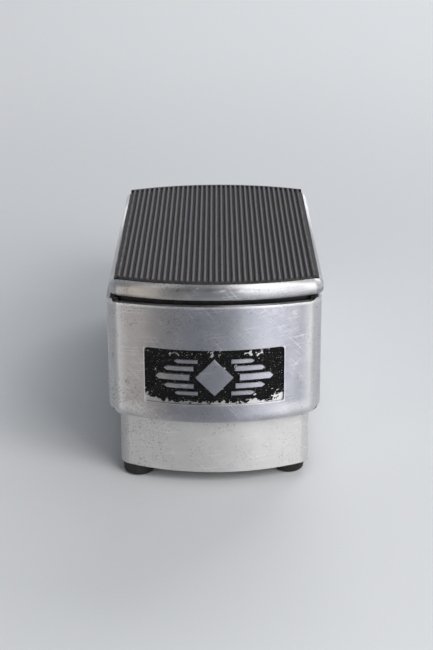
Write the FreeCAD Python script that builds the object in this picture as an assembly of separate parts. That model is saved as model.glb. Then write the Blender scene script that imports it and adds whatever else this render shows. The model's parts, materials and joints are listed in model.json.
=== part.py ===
import FreeCAD, Part
import math
import os

# Volume pedal: a cast housing on four rubber feet, with a rocking treadle that turns
# a potentiometer through a gear sector and a pinion.
# Frame: X to the right, Y from toe to heel, Z up, millimetres.
# The origin is under the middle of the pedal, on the floor.

# ---- housing dimensions -------------------------------------------------------------
PEDAL_LENGTH = 235.1         # housing, bow to bow
HOUSING_WIDTH = 102.2
TOE_BOW_RADIUS = 112.0       # plan radius of the toe end
HEEL_BOW_RADIUS = 92.0       # plan radius of the heel end
CORNER_RADIUS = 9.0          # plan corners of the upper body
WALL = 4.0

STEP_Z = 33.4                # underside of the overhanging upper body
STEP_FILLET = 6.5
PLINTH_INSET = 5.3           # at the step
PLINTH_FLARE = 0.35          # the plinth is this much wider at its foot
PLINTH_CORNER = 7.0
PLINTH_TOE_RADIUS = 100.0    # at the step

BASE_THICKNESS = 1.6
BASE_REBATE = 1.8            # lip of the plinth left round the base plate
BASE_SCREW_X = 36.5
BASE_SCREW_Y = (-75.0, 4.0, 81.0)
BASE_BOSS_RADIUS = 5.5

BADGE_HALF_WIDTH = 33.2
BADGE_Z = (45.4, 74.2)
BADGE_DEPTH = 1.2
BADGE_CORNER = 1.8
ENAMEL = 0.35

SLOT_LEFT = -48.4            # relief in the toe wall, under the rim
SLOT_RIGHT = 46.7
SLOT_FLARE = 49.1            # its right end is ground out to here
SLOT_SMALL = 1.4
SLOT_LARGE = 3.6

# ---- foot dimensions ----------------------------------------------------------------
FOOT_HEIGHT = 6.1
FOOT_TOP_RADIUS = 7.8
FOOT_BOTTOM_RADIUS = 7.4
FOOT_EDGE = 1.6              # round of the bottom edge
FOOT_RECESS_RADIUS = 4.2
FOOT_SCREW_SEAT = 3.2
FOOT_NUT_ROOM = 4.0          # radius of the pocket that clears each nut
FOOT_CENTRES = {
    "front_left": (-37.4, -97.6),
    "front_right": (36.3, -95.4),
    "rear_left": (-36.8, 95.6),
    "rear_right": (36.8, 95.6),
}

# ---- treadle dimensions -------------------------------------------------------------
TREADLE_WIDTH = 101.6
TREADLE_LENGTH = 237.6       # along its own plane
TREADLE_SHIFT_X = 1.1        # side play leaves the treadle to the right
TREADLE_TOE_RADIUS = 100.0
TREADLE_HEEL_RADIUS = 89.5
TREADLE_CORNER = 7.0
TREADLE_SLOPE = 10.3         # degrees, toe high, with the toe fully down
TREADLE_TOE_Z = 107.6        # top of the rim at the toe
RIM_DEPTH = 8.1
RIM_TOP_ROUND = 4.0
RIM_BOTTOM_ROUND = 2.2
MAT_INSET = 2.1              # edge of the recess
MAT_GAP = 0.5                # between the recess and the mat
MAT_RECESS = 2.5
MAT_THICKNESS = 3.9
MAT_CORNER = 1.8
DECK = 3.5                   # plate under the mat
UNDER_INSET = 5.0            # edge of the shallow pocket under the deck

STIFFENER_X = 17.0
STIFFENER_S = (20.8, 218.0)
LUG_INNER = 31.0             # pivot lugs, from the treadle's own middle
LUG_OUTER = 39.0
LUG_RADIUS = 9.0
SECTOR_LUG_S = (46.0, 74.0)
SECTOR_LUG_H = -18.5
SECTOR_LUG_WIDTH = 7.0
SECTOR_SCREWS = ((52.5, -12.0), (67.5, -12.0))
SMALL_SCREW_RADIUS = 1.5

SKIRT_HALF = 46.5            # dust skirt, upright inside the housing walls
SKIRT_TOE_S = 6.2
SKIRT_WALL_GAP = 1.4
SKIRT_HEEL_INSET = 8.0
SKIRT_CORNER = 4.5
SKIRT_SHEET = 0.9
SKIRT_FLANGE = 12.0
SKIRT_END_S = 158.0
SKIRT_DEPTH_TOE = 42.0
SKIRT_DEPTH_END = 12.0
SKIRT_SCREW_X = 38.0
SKIRT_SCREW_S = (30.0, 85.0, 140.0)

# ---- pivot dimensions ---------------------------------------------------------------
AXLE_FROM_TOE = 183.0        # along the treadle
AXLE_BELOW_RIM = 20.0
AXLE_RADIUS = 4.0
AXLE_TAP_RADIUS = 2.5
AXLE_TAP_DEPTH = 12.0
TREADLE_TRAVEL = 12.0        # degrees, toe down to heel down
WALL_GAP = 1.2               # rim underside to wall top at either end of travel
LIP_DROP = 1.6               # the toe lip is cut this much below the side walls
BOSS_FACE = 41.1             # inner faces of the housing's axle bosses
BOSS_RADIUS = 9.0
BUSH_RADIUS = 6.0
BUSH_CLEARANCE = 0.03
SPACER = 2.0
SPRING_WASHER = 1.0
CUP_WASHER = 0.7

FELT = 1.0
FELT_WIDTH = 2.4
FELT_EDGE = 0.2              # from the wall's inner face
TOE_FELT = (-153.0, -14.0)   # along the wall top, from the axle
HEEL_FELT = (12.0, 39.0)

# ---- gear dimensions ----------------------------------------------------------------
GEAR_MODULE = 1.0
PRESSURE = math.radians(20)
PINION_TEETH = 12
SECTOR_TEETH_FULL = 270      # teeth that a full circle of the sector would have
SECTOR_TEETH_BELOW = 12
SECTOR_TEETH_ABOVE = 3
SECTOR_INNER_RADIUS = 121.0
SECTOR_ADDENDUM = 0.65
SECTOR_DEDENDUM = 1.25
PINION_ADDENDUM = 0.95
PINION_DEDENDUM = 1.0
BACKLASH = 0.10              # taken off each flank
GEAR_CENTRES_EXTRA = 0.05
SECTOR_X = (-5.0, -2.0)

# ---- potentiometer dimensions -------------------------------------------------------
SHAFT_RADIUS = 3.175
BRACKET_X = (8.0, 10.0)
BRACKET_HALF = 15.0
BRACKET_FOOT = 14.0
BRACKET_SCREW_X = 17.0
BRACKET_SCREW_SPREAD = 9.0
BRACKET_SCREW_RADIUS = 1.6
POT_CAN_RADIUS = 12.0
POT_CAN_SHEET = 0.6
POT_BUSH_RADIUS = 4.75
POT_PLATE = 1.6              # front plate, and the wafer behind it
POT_LOCK_WASHER = 0.6
POT_LUG_SPREAD = 5.5
POT_LUG_LENGTH = 24.0        # lug tips, below the shaft
POT_LUG_SHEET = 0.6

# ---- jack dimensions ----------------------------------------------------------------
JACK_Y = -29.0
JACK_Z = 19.0
JACK_FACE_X = 45.8           # spot face on the plinth wall
JACK_SPOT_RADIUS = 8.6
JACK_HOLE = 4.8
JACK_BORE = 3.2
JACK_BUSH = 4.75
JACK_WASHER = 0.7
JACK_FRAME_SHEET = 1.2
JACK_LEG_DROP = 11.2         # underside of the frame's leg, below the plug's axis
JACK_STACK_X = (22.0, 32.0)
JACK_SPRING_SHEET = 0.6
WIRE_RADIUS = 0.8

# ---- derived dimensions -------------------------------------------------------------
V = FreeCAD.Vector
X_AXIS = V(1, 0, 0)
Z_AXIS = V(0, 0, 1)
ORIGIN = V(0, 0, 0)

HALF_LENGTH = PEDAL_LENGTH / 2
HALF_WIDTH = HOUSING_WIDTH / 2
BASE_TOP = FOOT_HEIGHT + BASE_THICKNESS
BASE_SCREWS = [(x, y) for y in BASE_SCREW_Y for x in (-BASE_SCREW_X, BASE_SCREW_X)]

SLOPE = math.radians(TREADLE_SLOPE)
TOE_Y = -HALF_LENGTH + RIM_DEPTH * math.sin(SLOPE)
AXLE_Y = TOE_Y + AXLE_FROM_TOE * math.cos(SLOPE) - AXLE_BELOW_RIM * math.sin(SLOPE)
AXLE_Z = TREADLE_TOE_Z - AXLE_FROM_TOE * math.sin(SLOPE) - AXLE_BELOW_RIM * math.cos(SLOPE)
WALL_TOP_RADIUS = AXLE_BELOW_RIM - RIM_DEPTH - WALL_GAP
DECK_UNDER = -(MAT_RECESS + DECK)
LUG_MIDDLE = (LUG_INNER + LUG_OUTER) / 2
LUG_HALF = (LUG_OUTER - LUG_INNER) / 2
SKIRT_SCREWS = [(x, s) for s in SKIRT_SCREW_S for x in (-SKIRT_SCREW_X, SKIRT_SCREW_X)]

PINION_RADIUS = GEAR_MODULE * PINION_TEETH / 2
SECTOR_RADIUS = GEAR_MODULE * SECTOR_TEETH_FULL / 2
TOOTH_PITCH = math.radians(360.0 / SECTOR_TEETH_FULL)

POT_Y = AXLE_Y - SECTOR_RADIUS - PINION_RADIUS - GEAR_CENTRES_EXTRA
POT_Z = AXLE_Z
POT_FACE = BRACKET_X[1]
POT_WAFER_BACK = POT_FACE + 2 * POT_PLATE
BRACKET_SCREW_Y = (POT_Y - BRACKET_SCREW_SPREAD, POT_Y + BRACKET_SCREW_SPREAD)
POT_LUG_Y = (POT_Y - POT_LUG_SPREAD, POT_Y, POT_Y + POT_LUG_SPREAD)
POT_LUG_X = POT_WAFER_BACK + POT_LUG_SHEET + WIRE_RADIUS    # wire laid on a lug
POT_LUG_END_Z = POT_Z - POT_LUG_LENGTH

JACK_WALL_INNER = HALF_WIDTH - PLINTH_INSET - WALL
JACK_LEG_Z = JACK_Z - JACK_LEG_DROP + JACK_FRAME_SHEET      # top of the leg
JACK_STACK_Z = (JACK_LEG_Z, JACK_Z - 5.4)
TAIL_X = JACK_STACK_X[1] - 1.8                              # wire laid on a solder tail
TAIL_Y = JACK_Y - 7.4
TAIL_Z = JACK_STACK_Z[1] + JACK_SPRING_SHEET + WIRE_RADIUS


# ---- small shape helpers ------------------------------------------------------------
def block(x0, x1, y0, y1, z0, z1):
    return Part.makeBox(x1 - x0, y1 - y0, z1 - z0, V(x0, y0, z0))


def rod_x(radius, x0, x1, y, z):
    return Part.makeCylinder(radius, x1 - x0, V(x0, y, z), X_AXIS)


def rod_z(radius, z0, z1, x, y):
    return Part.makeCylinder(radius, z1 - z0, V(x, y, z0), Z_AXIS)


def ring_x(outer, inner, x0, x1, y, z):
    return rod_x(outer, x0, x1, y, z).cut(rod_x(inner, x0 - 1, x1 + 1, y, z))


def hex_nut(across_flats, bore, height):
    """Hexagon nut on the XY plane, two of its flats facing left and right."""
    corner = across_flats / math.sqrt(3)
    angles = [math.radians(30 + 60 * k) for k in range(7)]
    points = [V(corner * math.cos(a), corner * math.sin(a), 0) for a in angles]
    prism = Part.Face(Part.makePolygon(points)).extrude(V(0, 0, height))
    blank = prism.common(Part.makeCone(corner, corner - 0.5 * height, height).fuse(
        Part.makeCylinder(corner, height * 0.7)))
    return blank.cut(rod_z(bore, -1, height + 1, 0, 0))


def joined(shapes):
    result = shapes[0]
    for shape in shapes[1:]:
        result = result.fuse(shape)
    return result.removeSplitter()


def mirrored(shape):
    return shape.mirror(ORIGIN, X_AXIS)


def to_treadle(shape):
    """Moves a shape from the treadle's own frame (x, distance from toe, height over rim)."""
    placed = shape.copy()
    placed.rotate(ORIGIN, X_AXIS, -TREADLE_SLOPE)
    placed.translate(V(0, TOE_Y, TREADLE_TOE_Z))
    return placed


def outline(half_width, toe_y, heel_y, toe_radius, heel_radius, corner, z):
    """Closed plan outline: straight sides, bowed ends and rounded corners."""
    toe_centre = toe_y + toe_radius
    heel_centre = heel_y - heel_radius
    corner_x = half_width - corner
    toe_corner_y = toe_centre - math.sqrt((toe_radius - corner) ** 2 - corner_x ** 2)
    heel_corner_y = heel_centre + math.sqrt((heel_radius - corner) ** 2 - corner_x ** 2)

    def bow_end(centre_y, radius, corner_y):
        scale = radius / (radius - corner)
        return V(corner_x * scale, centre_y + (corner_y - centre_y) * scale, z)

    def corner_middle(centre_y, corner_y):
        angle = 0.5 * math.atan2(corner_y - centre_y, corner_x)
        return V(corner_x + corner * math.cos(angle), corner_y + corner * math.sin(angle), z)

    toe_end = bow_end(toe_centre, toe_radius, toe_corner_y)
    heel_end = bow_end(heel_centre, heel_radius, heel_corner_y)
    toe_mid = corner_middle(toe_centre, toe_corner_y)
    heel_mid = corner_middle(heel_centre, heel_corner_y)
    side_toe = V(half_width, toe_corner_y, z)
    side_heel = V(half_width, heel_corner_y, z)

    def left(point):
        return V(-point.x, point.y, point.z)

    edges = [
        Part.Arc(left(toe_end), V(0, toe_y, z), toe_end).toShape(),
        Part.Arc(toe_end, toe_mid, side_toe).toShape(),
        Part.LineSegment(side_toe, side_heel).toShape(),
        Part.Arc(side_heel, heel_mid, heel_end).toShape(),
        Part.Arc(heel_end, V(0, heel_y, z), left(heel_end)).toShape(),
        Part.Arc(left(heel_end), left(heel_mid), left(side_heel)).toShape(),
        Part.LineSegment(left(side_heel), left(side_toe)).toShape(),
        Part.Arc(left(side_toe), left(toe_mid), left(toe_end)).toShape(),
    ]
    return Part.Wire(edges)


def housing_outline(inset, z):
    return outline(
        HALF_WIDTH - inset, -HALF_LENGTH + inset, HALF_LENGTH - inset,
        TOE_BOW_RADIUS - inset, HEEL_BOW_RADIUS - inset, max(CORNER_RADIUS - inset, 1.5), z)


def plinth_outline(inset, z):
    """Plan of the plinth; an inset of 0 is its outer face at the step."""
    total = PLINTH_INSET + inset
    return outline(
        HALF_WIDTH - total, -HALF_LENGTH + total, HALF_LENGTH - total,
        PLINTH_TOE_RADIUS - inset, HEEL_BOW_RADIUS - total, max(PLINTH_CORNER - inset, 1.5), z)


def housing_prism(inset, z0, z1):
    return Part.Face(housing_outline(inset, z0)).extrude(V(0, 0, z1 - z0))


def plinth_prism(inset, z0, z1):
    return Part.Face(plinth_outline(inset, z0)).extrude(V(0, 0, z1 - z0))


def treadle_prism(inset, h0, h1, corner):
    """Prism with the treadle's plan, in the treadle's own frame."""
    wire = outline(
        TREADLE_WIDTH / 2 - inset, inset, TREADLE_LENGTH - inset,
        TREADLE_TOE_RADIUS - inset, TREADLE_HEEL_RADIUS - inset, corner, h0)
    prism = Part.Face(wire).extrude(V(0, 0, h1 - h0))
    prism.translate(V(TREADLE_SHIFT_X, 0, 0))
    return prism


def pan_screw(head_radius, head_height, shank_radius, length):
    """Slotted round-head screw, head up, its head's underside on the XY plane."""
    dome_radius = (head_radius ** 2 + head_height ** 2) / (2 * head_height)
    dome = Part.makeSphere(dome_radius, V(0, 0, head_height - dome_radius))
    head = dome.common(Part.makeCylinder(head_radius, head_height))
    slot = block(-head_radius, head_radius, -0.5, 0.5, head_height * 0.5, head_height + 1)
    shank = Part.makeCylinder(shank_radius, length, V(0, 0, -length))
    return head.cut(slot).fuse(shank).removeSplitter()


def placed(shape, position, axis=Z_AXIS):
    """Turns a shape's +Z to the given axis and moves its origin to the position."""
    copy = shape.copy()
    copy.Placement = FreeCAD.Placement(position, FreeCAD.Rotation(Z_AXIS, axis))
    return copy


# ---- housing ------------------------------------------------------------------------
def above_walls():
    """Everything over the wall tops: two planes that roll over the axle."""
    reach = HALF_LENGTH + 20
    rear_slope = SLOPE + math.radians(TREADLE_TRAVEL)

    def tangent(angle):
        y = AXLE_Y + WALL_TOP_RADIUS * math.sin(angle)
        z = AXLE_Z + WALL_TOP_RADIUS * math.cos(angle)
        return V(0, y, z)

    def along(start, angle, distance):
        return start + V(0, distance * math.cos(angle), -distance * math.sin(angle))

    front = tangent(SLOPE)
    rear = tangent(rear_slope)
    crown = tangent((SLOPE + rear_slope) / 2)
    toe = along(front, SLOPE, -(front.y + reach) / math.cos(SLOPE))
    heel = along(rear, rear_slope, (reach - rear.y) / math.cos(rear_slope))
    top = TREADLE_TOE_Z + 20
    edges = [
        Part.LineSegment(toe, front).toShape(),
        Part.Arc(front, crown, rear).toShape(),
        Part.LineSegment(rear, heel).toShape(),
        Part.LineSegment(heel, V(0, reach, top)).toShape(),
        Part.LineSegment(V(0, reach, top), V(0, -reach, top)).toShape(),
        Part.LineSegment(V(0, -reach, top), toe).toShape(),
    ]
    profile = Part.Face(Part.Wire(edges))
    profile.translate(V(-HOUSING_WIDTH, 0, 0))
    return profile.extrude(V(2 * HOUSING_WIDTH, 0, 0))


def toe_slot():
    """Relief in the toe wall, under the rim; its right end is ground to a wider curve."""
    bottom = -(RIM_DEPTH + WALL_GAP + LIP_DROP)
    left_side = V(SLOT_LEFT, 0, bottom + SLOT_SMALL)
    left_round = V(SLOT_LEFT + 0.3 * SLOT_SMALL, 0, bottom + 0.3 * SLOT_SMALL)
    left_floor = V(SLOT_LEFT + SLOT_SMALL, 0, bottom)
    right_floor = V(SLOT_RIGHT - 0.5 * SLOT_LARGE, 0, bottom)
    right_round = V(SLOT_RIGHT + 1.0, 0, bottom + 0.9)
    right_side = V(SLOT_FLARE, 0, bottom + SLOT_LARGE)
    left_top = V(SLOT_LEFT, 0, 0)
    right_top = V(SLOT_FLARE, 0, 0)
    edges = [
        Part.LineSegment(left_top, left_side).toShape(),
        Part.Arc(left_side, left_round, left_floor).toShape(),
        Part.LineSegment(left_floor, right_floor).toShape(),
        Part.Arc(right_floor, right_round, right_side).toShape(),
        Part.LineSegment(right_side, right_top).toShape(),
        Part.LineSegment(right_top, left_top).toShape(),
    ]
    profile = Part.Face(Part.Wire(edges))
    profile.translate(V(0, -6, 0))
    return to_treadle(profile.extrude(V(0, 21, 0)))


def badge_window():
    """Rounded rectangle in front of the toe wall, deep enough to cross it."""
    x = BADGE_HALF_WIDTH
    window = block(-x, x, -HALF_LENGTH - 5, -HALF_LENGTH + 12, BADGE_Z[0], BADGE_Z[1])
    upright = [e for e in window.Edges if abs(e.tangentAt(e.FirstParameter).y) > 0.9]
    return window.makeFillet(BADGE_CORNER, upright)


def toe_shell(outer_inset, inner_inset):
    """Slice of the toe wall between two depths below its face."""
    z0, z1 = BADGE_Z[0] - 5, BADGE_Z[1] + 5
    return housing_prism(outer_inset, z0, z1).cut(housing_prism(inner_inset, z0 - 1, z1 + 1))


def badge_figure():
    """Generic raised figure: a lozenge between stepped bars."""
    mid_z = sum(BADGE_Z) / 2
    y0 = -HALF_LENGTH - 5
    lozenge = [(-9, 0), (0, -9.5), (9, 0), (0, 9.5)]
    bars = ((12, 28, 0, 1.5), (10, 24, 4.6, 1.1), (10, 24, -4.6, 1.1), (8, 19, 8.4, 0.9), (8, 19, -8.4, 0.9))

    def prism(points):
        corners = [V(x, y0, mid_z + z) for x, z in points + points[:1]]
        return Part.Face(Part.makePolygon(corners)).extrude(V(0, 17, 0))

    def bar(side, inner, outer, z, half):
        near = side * inner
        shoulder = side * (outer - 1.5)
        tip = side * outer
        low = [(near, z - half), (shoulder, z - half)]
        high = [(shoulder, z + half), (near, z + half)]
        return prism(low + [(tip, z)] + high)

    shapes = [prism(lozenge)]
    for side in (-1, 1):
        for inner, outer, z, half in bars:
            shapes.append(bar(side, inner, outer, z, half))
    return Part.makeCompound(shapes)


def housing_shell():
    """Upper body on its set-in plinth, open above and below."""
    upper = housing_prism(0, STEP_Z, TREADLE_TOE_Z + 10)
    step_edges = [e for e in upper.Edges if e.BoundBox.ZMax < STEP_Z + 0.01]
    upper = upper.makeFillet(STEP_FILLET, step_edges)
    foot_wire = plinth_outline(-PLINTH_FLARE, FOOT_HEIGHT)
    plinth = Part.makeLoft([foot_wire, plinth_outline(0, STEP_Z)], True, True)
    plinth = plinth.fuse(plinth_prism(0, STEP_Z, STEP_Z + WALL))
    shell = upper.fuse(plinth)
    shell = shell.cut(housing_prism(WALL, STEP_Z + WALL, TREADLE_TOE_Z + 20))
    shell = shell.cut(plinth_prism(WALL, FOOT_HEIGHT - 1, STEP_Z + WALL + 1))
    return shell.cut(plinth_prism(BASE_REBATE, FOOT_HEIGHT - 1, BASE_TOP))


def housing_bosses():
    """Bosses for the base plate's screws and for the ends of the axle."""
    bosses = [rod_z(BASE_BOSS_RADIUS, BASE_TOP, STEP_Z, x, y) for x, y in BASE_SCREWS]
    bosses.append(rod_x(BOSS_RADIUS, BOSS_FACE, HALF_WIDTH, AXLE_Y, AXLE_Z))
    bosses.append(rod_x(BOSS_RADIUS, -HALF_WIDTH, -BOSS_FACE, AXLE_Y, AXLE_Z))
    inside = housing_prism(1.0, STEP_Z + 2, TREADLE_TOE_Z)
    inside = inside.fuse(plinth_prism(1.0, 0, STEP_Z + 2))
    return [boss.common(inside) for boss in bosses]


def jack_holes():
    holes = []
    for side in (-1, 1):
        middle = side * (JACK_WALL_INNER + 3.0)
        holes.append(rod_x(JACK_HOLE, middle - 6, middle + 6, JACK_Y, JACK_Z))
        start = JACK_FACE_X if side > 0 else -JACK_FACE_X - 3
        holes.append(rod_x(JACK_SPOT_RADIUS, start, start + 3, JACK_Y, JACK_Z))
    return holes


def housing_casting():
    solid = housing_shell()
    for boss in housing_bosses():
        solid = solid.fuse(boss)
    solid = solid.cut(above_walls())
    solid = solid.cut(toe_slot())
    badge_recess = badge_window().common(toe_shell(-1, BADGE_DEPTH))
    solid = solid.cut(badge_recess.cut(badge_figure()))
    solid = solid.cut(rod_x(AXLE_RADIUS, -HALF_WIDTH - 5, HALF_WIDTH + 5, AXLE_Y, AXLE_Z))
    for x, y in BASE_SCREWS:
        solid = solid.cut(rod_z(2.0, BASE_TOP - 1, BASE_TOP + 12, x, y))
    for x, y in FOOT_CENTRES.values():
        solid = solid.cut(rod_z(FOOT_NUT_ROOM, BASE_TOP - 0.5, BASE_TOP + 4, x, y))
    for hole in jack_holes():
        solid = solid.cut(hole)
    return solid.removeSplitter()


def badge_enamel():
    layer = toe_shell(BADGE_DEPTH - ENAMEL, BADGE_DEPTH).common(badge_window())
    layer = layer.cut(badge_figure())
    toe_half = block(-HALF_WIDTH, HALF_WIDTH, -HALF_LENGTH - 1, -HALF_LENGTH + 14, 0, TREADLE_TOE_Z)
    return layer.common(toe_half)


def base_plate():
    plate = plinth_prism(BASE_REBATE + 0.1, FOOT_HEIGHT, BASE_TOP)
    for x, y in BASE_SCREWS + list(FOOT_CENTRES.values()):
        plate = plate.cut(rod_z(2.0, 0, 20, x, y))
    for y in BRACKET_SCREW_Y:
        plate = plate.cut(rod_z(BRACKET_SCREW_RADIUS, 0, 20, BRACKET_SCREW_X, y))
    return plate


def base_plate_screws():
    screw = pan_screw(3.8, 2.4, 2.0, 11.0)
    return Part.makeCompound([
        placed(screw, V(x, y, FOOT_HEIGHT), V(0, 0, -1)) for x, y in BASE_SCREWS])


def rubber_foot():
    """Turned foot with a bore and a recess for its screw, standing on the XY plane."""
    screw = 2.0
    bottom = FOOT_BOTTOM_RADIUS
    edge = FOOT_EDGE
    top_inner = V(screw, 0, FOOT_HEIGHT)
    top_outer = V(FOOT_TOP_RADIUS, 0, FOOT_HEIGHT)
    side_low = V(bottom, 0, edge)
    round_middle = V(bottom - 0.3 * edge, 0, 0.3 * edge)
    sole_outer = V(bottom - edge, 0, 0)
    sole_inner = V(FOOT_RECESS_RADIUS, 0, 0)
    seat_outer = V(FOOT_RECESS_RADIUS, 0, FOOT_SCREW_SEAT)
    seat_inner = V(screw, 0, FOOT_SCREW_SEAT)
    edges = [
        Part.LineSegment(top_inner, top_outer).toShape(),
        Part.LineSegment(top_outer, side_low).toShape(),
        Part.Arc(side_low, round_middle, sole_outer).toShape(),
        Part.LineSegment(sole_outer, sole_inner).toShape(),
        Part.LineSegment(sole_inner, seat_outer).toShape(),
        Part.LineSegment(seat_outer, seat_inner).toShape(),
        Part.LineSegment(seat_inner, top_inner).toShape(),
    ]
    return Part.Face(Part.Wire(edges)).revolve(ORIGIN, Z_AXIS, 360)


def foot_screws():
    screw = pan_screw(3.8, 2.2, 2.0, 9.0)
    return Part.makeCompound([
        placed(screw, V(x, y, FOOT_SCREW_SEAT), V(0, 0, -1)) for x, y in FOOT_CENTRES.values()])


def foot_nuts():
    nut = hex_nut(6.0, 2.0, 2.2)
    return Part.makeCompound([
        placed(nut, V(x, y, BASE_TOP)) for x, y in FOOT_CENTRES.values()])


# ---- pivot --------------------------------------------------------------------------
def pivot_axle():
    axle = rod_x(AXLE_RADIUS, -HALF_WIDTH, HALF_WIDTH, AXLE_Y, AXLE_Z)
    tap = rod_x(AXLE_TAP_RADIUS, HALF_WIDTH - AXLE_TAP_DEPTH, HALF_WIDTH + 1, AXLE_Y, AXLE_Z)
    return axle.cut(tap).cut(mirrored(tap))


def axle_end_screws():
    screw = pan_screw(4.6, 1.2, AXLE_TAP_RADIUS, AXLE_TAP_DEPTH)
    seat = HALF_WIDTH + CUP_WASHER
    return Part.makeCompound([
        placed(screw, V(side * seat, AXLE_Y, AXLE_Z), V(side, 0, 0)) for side in (-1, 1)])


def axle_washers():
    washer = ring_x(6.2, AXLE_TAP_RADIUS, HALF_WIDTH, HALF_WIDTH + CUP_WASHER, AXLE_Y, AXLE_Z)
    return Part.makeCompound([washer, mirrored(washer)])


def thrust_washer():
    face = TREADLE_SHIFT_X + LUG_OUTER
    return ring_x(7.5, AXLE_RADIUS, face + 0.05, BOSS_FACE, AXLE_Y, AXLE_Z)


def axle_spacer():
    return ring_x(7.0, AXLE_RADIUS, -BOSS_FACE, -BOSS_FACE + SPACER, AXLE_Y, AXLE_Z)


def spring_washer():
    start = -BOSS_FACE + SPACER
    end = start + SPRING_WASHER
    washer = ring_x(7.0, AXLE_RADIUS, start, end, AXLE_Y, AXLE_Z)
    return washer.cut(block(start - 1, end + 1, AXLE_Y - 0.4, AXLE_Y + 0.4, AXLE_Z + 3, AXLE_Z + 9))


def axle_bush(side):
    middle = TREADLE_SHIFT_X + side * LUG_MIDDLE
    bore = AXLE_RADIUS + BUSH_CLEARANCE
    return ring_x(BUSH_RADIUS, bore, middle - LUG_HALF, middle + LUG_HALF, AXLE_Y, AXLE_Z)


# ---- felt on the wall tops ----------------------------------------------------------
def felt_strip(side, toe_part):
    """Strip on the inner part of a wall top, ahead of the axle or behind it."""
    start, end = TOE_FELT if toe_part else HEEL_FELT
    slope = TREADLE_SLOPE if toe_part else TREADLE_SLOPE + TREADLE_TRAVEL
    near = HALF_WIDTH - WALL + FELT_EDGE
    run = block(near, near + FELT_WIDTH, start, end, WALL_TOP_RADIUS, WALL_TOP_RADIUS + FELT)
    run.rotate(ORIGIN, X_AXIS, -slope)
    run.translate(V(0, AXLE_Y, AXLE_Z))
    return run if side > 0 else mirrored(run)


# ---- treadle ------------------------------------------------------------------------
def treadle_blank():
    """Rimmed plate with its round edges, the mat's recess and the pocket under the deck."""
    blank = treadle_prism(0, -RIM_DEPTH, 0, TREADLE_CORNER)
    top = [e for e in blank.Edges if e.BoundBox.ZMin > -0.01]
    blank = blank.makeFillet(RIM_TOP_ROUND, top)
    bottom = [e for e in blank.Edges if e.BoundBox.ZMax < -RIM_DEPTH + 0.01]
    blank = blank.makeFillet(RIM_BOTTOM_ROUND, bottom)
    blank = blank.cut(treadle_prism(MAT_INSET, -MAT_RECESS, 1, MAT_CORNER))
    return blank.cut(treadle_prism(UNDER_INSET, -RIM_DEPTH - 1, DECK_UNDER, MAT_CORNER))


def pivot_lug(side):
    x0 = TREADLE_SHIFT_X + side * LUG_MIDDLE - LUG_HALF
    x1 = x0 + 2 * LUG_HALF
    s0 = AXLE_FROM_TOE - LUG_RADIUS
    s1 = AXLE_FROM_TOE + LUG_RADIUS
    lug = block(x0, x1, s0, s1, -AXLE_BELOW_RIM, DECK_UNDER)
    return lug.fuse(rod_x(LUG_RADIUS, x0, x1, AXLE_FROM_TOE, -AXLE_BELOW_RIM))


def treadle_underside():
    """Stiffeners, screw pads, pivot lugs and the gear sector's lug, all under the deck."""
    s0, s1 = STIFFENER_S
    low = -RIM_DEPTH - 1.5
    shapes = [block(x - 1.5, x + 1.5, s0, s1, low, DECK_UNDER) for x in (-STIFFENER_X, STIFFENER_X)]
    shapes += [rod_z(4.0, -RIM_DEPTH, DECK_UNDER, x, s) for x, s in SKIRT_SCREWS]
    shapes += [pivot_lug(-1), pivot_lug(1)]
    x0 = SECTOR_X[1]
    s0, s1 = SECTOR_LUG_S
    shapes.append(block(x0, x0 + SECTOR_LUG_WIDTH, s0, s1, SECTOR_LUG_H, DECK_UNDER))
    inside = treadle_prism(UNDER_INSET, -60, DECK_UNDER + 0.5, MAT_CORNER)
    return joined(shapes).common(inside)


def treadle_casting():
    solid = treadle_blank().fuse(treadle_underside())
    for side in (-1, 1):
        middle = TREADLE_SHIFT_X + side * LUG_MIDDLE
        solid = solid.cut(rod_x(BUSH_RADIUS, middle - 5, middle + 5, AXLE_FROM_TOE, -AXLE_BELOW_RIM))
    for s, h in SECTOR_SCREWS:
        solid = solid.cut(rod_x(SMALL_SCREW_RADIUS, SECTOR_X[1] - 1, SECTOR_X[1] + 6, s, h))
    for x, s in SKIRT_SCREWS:
        solid = solid.cut(rod_z(SMALL_SCREW_RADIUS, -RIM_DEPTH - 1, -RIM_DEPTH + 3.5, x, s))
    return to_treadle(solid.removeSplitter())


def tread_mat():
    inset = MAT_INSET + MAT_GAP
    return to_treadle(treadle_prism(inset, -MAT_RECESS, MAT_THICKNESS - MAT_RECESS, MAT_CORNER))


def skirt_outline(inset, h):
    toe_radius = TOE_BOW_RADIUS - WALL - SKIRT_WALL_GAP
    heel_radius = TREADLE_HEEL_RADIUS - SKIRT_HEEL_INSET
    return outline(
        SKIRT_HALF - inset, SKIRT_TOE_S + inset, TREADLE_LENGTH - SKIRT_HEEL_INSET - inset,
        toe_radius - inset, heel_radius - inset, max(SKIRT_CORNER - inset, 1.0), h)


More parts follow.
